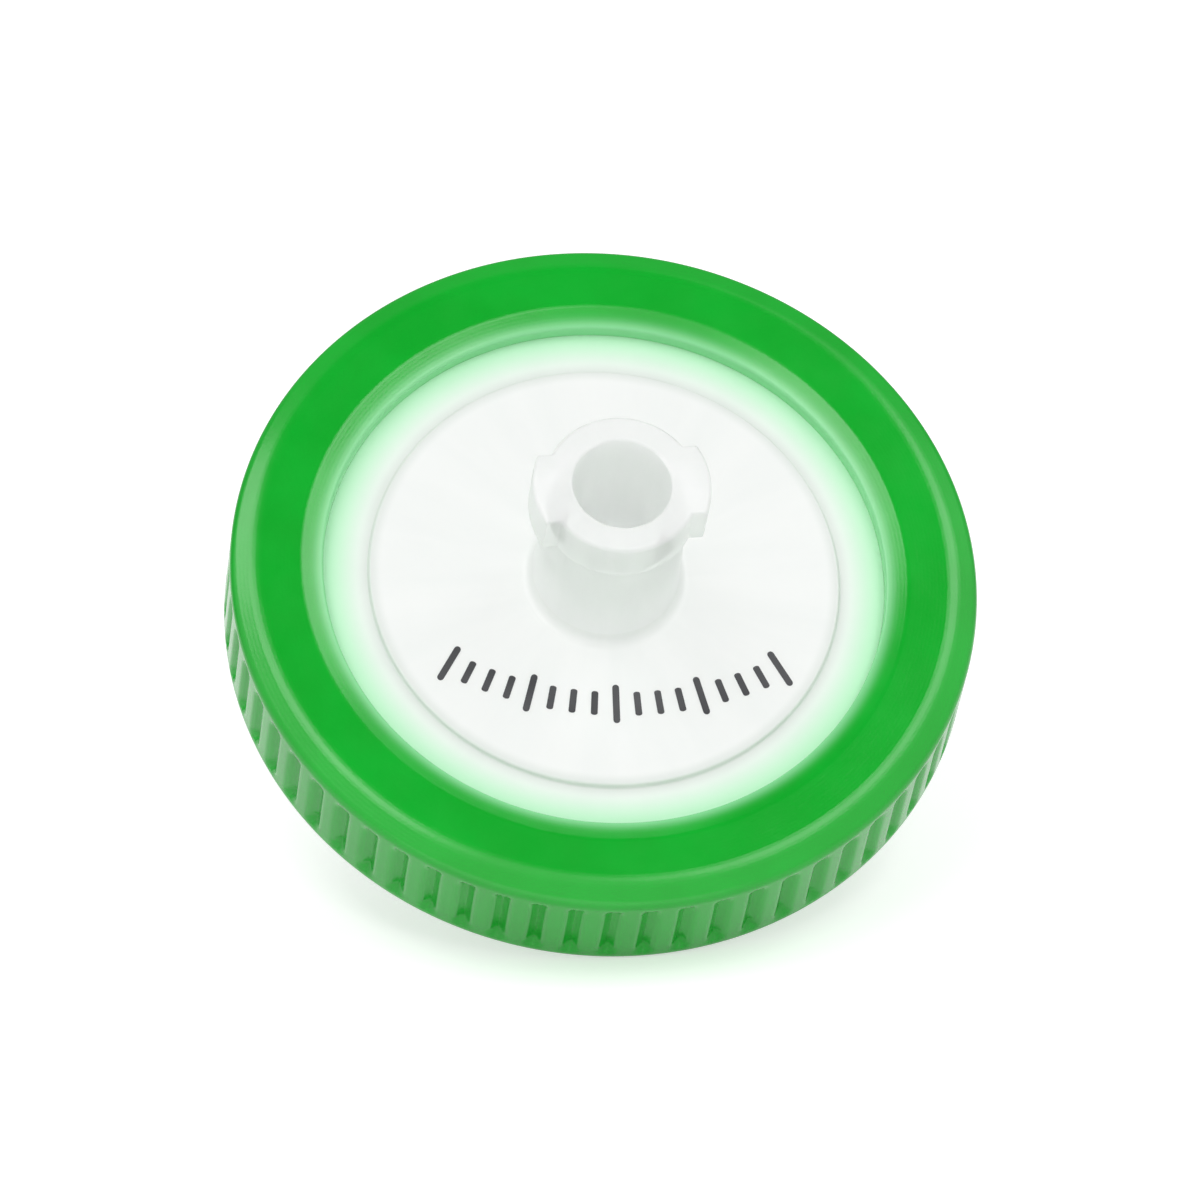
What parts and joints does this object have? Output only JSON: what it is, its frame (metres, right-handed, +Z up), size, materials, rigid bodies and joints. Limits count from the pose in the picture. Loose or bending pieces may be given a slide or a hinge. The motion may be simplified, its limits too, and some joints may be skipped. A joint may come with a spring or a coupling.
{
  "type": "syringe filter",
  "caption": "Round disposable syringe filter with a green ribbed ring, milky plates, a female Luer lock inlet and a male Luer slip outlet.",
  "frame": {"origin": "on the floor under the middle of the filter's bounding box, as it rests on the edge of its ring and on the end of its nozzle", "axes": "+X along the ring's diameter that stays level and through the two lugs, +Z up, -Y the side to which the inlet face leans"},
  "size_m": [0.033, 0.0292, 0.0237],
  "materials": {
    "natural_polypropylene": "satin",
    "white_membrane": "matte",
    "green_polypropylene": "gloss"
  },
  "bodies": {
    "root": {"inlet_housing": "natural_polypropylene", "membrane": "white_membrane", "outlet_housing": "natural_polypropylene", "sealing_ring": "green_polypropylene"}
  },
  "joints": []
}
